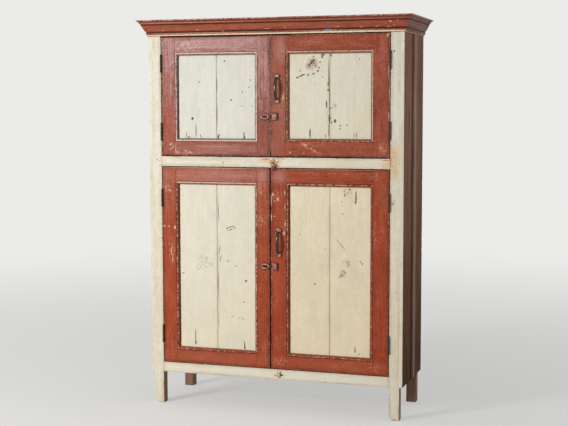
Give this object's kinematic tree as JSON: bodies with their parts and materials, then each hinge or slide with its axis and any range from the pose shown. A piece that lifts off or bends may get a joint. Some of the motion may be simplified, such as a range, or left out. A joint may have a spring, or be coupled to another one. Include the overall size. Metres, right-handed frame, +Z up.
{
  "type": "jelly cupboard",
  "caption": "Tall painted country cupboard with pairs of framed doors above and below, a moulded cornice, shelves inside, iron pulls and hasp latches, on square legs.",
  "frame": {"origin": "on the floor, under the middle of the cupboard's bounding box", "axes": "+X to the right seen from the front, +Y towards the back, +Z up; the doors face -Y"},
  "size_m": [1.39, 0.482, 1.92],
  "materials": {
    "cream_paint": "old cream oil paint on wood, brushed, chipped at the edges",
    "panel_paint": "old cream paint on planks, streaked and flaked",
    "red_paint": "worn red oxide paint on wood",
    "brown_stain": "dark brown weathered stain on wood",
    "bare_wood": "bare aged softwood",
    "dark_iron": "dark hand-worn iron",
    "steel": "bright bent nail"
  },
  "bodies": {
    "cupboard": {"front_left_post": "cream_paint", "front_right_post": "cream_paint", "back_left_post": "cream_paint", "back_right_post": "cream_paint", "front_bottom_rail": "cream_paint", "front_middle_rail": "cream_paint", "front_top_rail": "cream_paint", "back_bottom_rail": "bare_wood", "back_top_rail": "bare_wood", "left_side_front_board": "brown_stain", "left_side_back_board": "brown_stain", "right_side_front_board": "brown_stain", "right_side_back_board": "brown_stain", "back_boards": "bare_wood", "top_board": "bare_wood", "front_cornice": "red_paint", "left_cornice": "brown_stain", "right_cornice": "brown_stain", "bottom_board": "bare_wood", "middle_board": "bare_wood", "upper_shelf": "bare_wood", "lower_shelf_1": "bare_wood", "lower_shelf_2": "bare_wood", "bent_nail": "steel", "upper_left_top_hinge_post_leaf": "dark_iron", "upper_left_bottom_hinge_post_leaf": "dark_iron", "upper_right_top_hinge_post_leaf": "dark_iron", "upper_right_bottom_hinge_post_leaf": "dark_iron", "lower_left_top_hinge_post_leaf": "dark_iron", "lower_left_bottom_hinge_post_leaf": "dark_iron", "lower_right_top_hinge_post_leaf": "dark_iron", "lower_right_bottom_hinge_post_leaf": "dark_iron"},
    "upper_left_door": {"upper_left_door_frame": "red_paint", "upper_left_panel_board_hinge_side": "panel_paint", "upper_left_panel_board_meeting_side": "panel_paint", "upper_left_top_hinge_door_leaf": "dark_iron", "upper_left_bottom_hinge_door_leaf": "dark_iron", "upper_staple": "dark_iron"},
    "upper_right_door": {"upper_right_door_frame": "red_paint", "upper_right_panel_board_hinge_side": "panel_paint", "upper_right_panel_board_meeting_side": "panel_paint", "upper_right_top_hinge_door_leaf": "dark_iron", "upper_right_bottom_hinge_door_leaf": "dark_iron", "upper_pull_handle": "dark_iron", "upper_hasp_fixed_plate": "dark_iron"},
    "upper_hasp": {"upper_hasp_strap": "dark_iron"},
    "lower_left_door": {"lower_left_door_frame": "red_paint", "lower_left_panel_board_hinge_side": "panel_paint", "lower_left_panel_board_meeting_side": "panel_paint", "lower_left_top_hinge_door_leaf": "dark_iron", "lower_left_bottom_hinge_door_leaf": "dark_iron", "lower_staple": "dark_iron"},
    "lower_right_door": {"lower_right_door_frame": "red_paint", "lower_right_panel_board_hinge_side": "panel_paint", "lower_right_panel_board_meeting_side": "panel_paint", "lower_right_top_hinge_door_leaf": "dark_iron", "lower_right_bottom_hinge_door_leaf": "dark_iron", "lower_pull_handle": "dark_iron", "lower_hasp_fixed_plate": "dark_iron"},
    "lower_hasp": {"lower_hasp_strap": "dark_iron"}
  },
  "joints": [
    {"name": "upper_left_door_hinge", "type": "hinge", "parent": "cupboard", "child": "upper_left_door", "pos_m": [-0.5803, -0.1996, 1.546], "axis": [0, 0, -1], "range_deg": [0, 165]},
    {"name": "upper_right_door_hinge", "type": "hinge", "parent": "cupboard", "child": "upper_right_door", "pos_m": [0.5803, -0.1996, 1.546], "axis": [0, 0, 1], "range_deg": [0, 165]},
    {"name": "lower_left_door_hinge", "type": "hinge", "parent": "cupboard", "child": "lower_left_door", "pos_m": [-0.5803, -0.1996, 0.706], "axis": [0, 0, -1], "range_deg": [0, 165]},
    {"name": "lower_right_door_hinge", "type": "hinge", "parent": "cupboard", "child": "lower_right_door", "pos_m": [0.5803, -0.1996, 0.706], "axis": [0, 0, 1], "range_deg": [0, 165]},
    {"name": "upper_hasp_swing", "type": "hinge", "parent": "upper_right_door", "child": "upper_hasp", "pos_m": [0.0255, -0.1984, 1.4471], "axis": [0, 0, 1], "range_deg": [0, 170]},
    {"name": "lower_hasp_swing", "type": "hinge", "parent": "lower_right_door", "child": "lower_hasp", "pos_m": [0.0255, -0.1984, 0.71882], "axis": [0, 0, 1], "range_deg": [0, 170]}
  ]
}
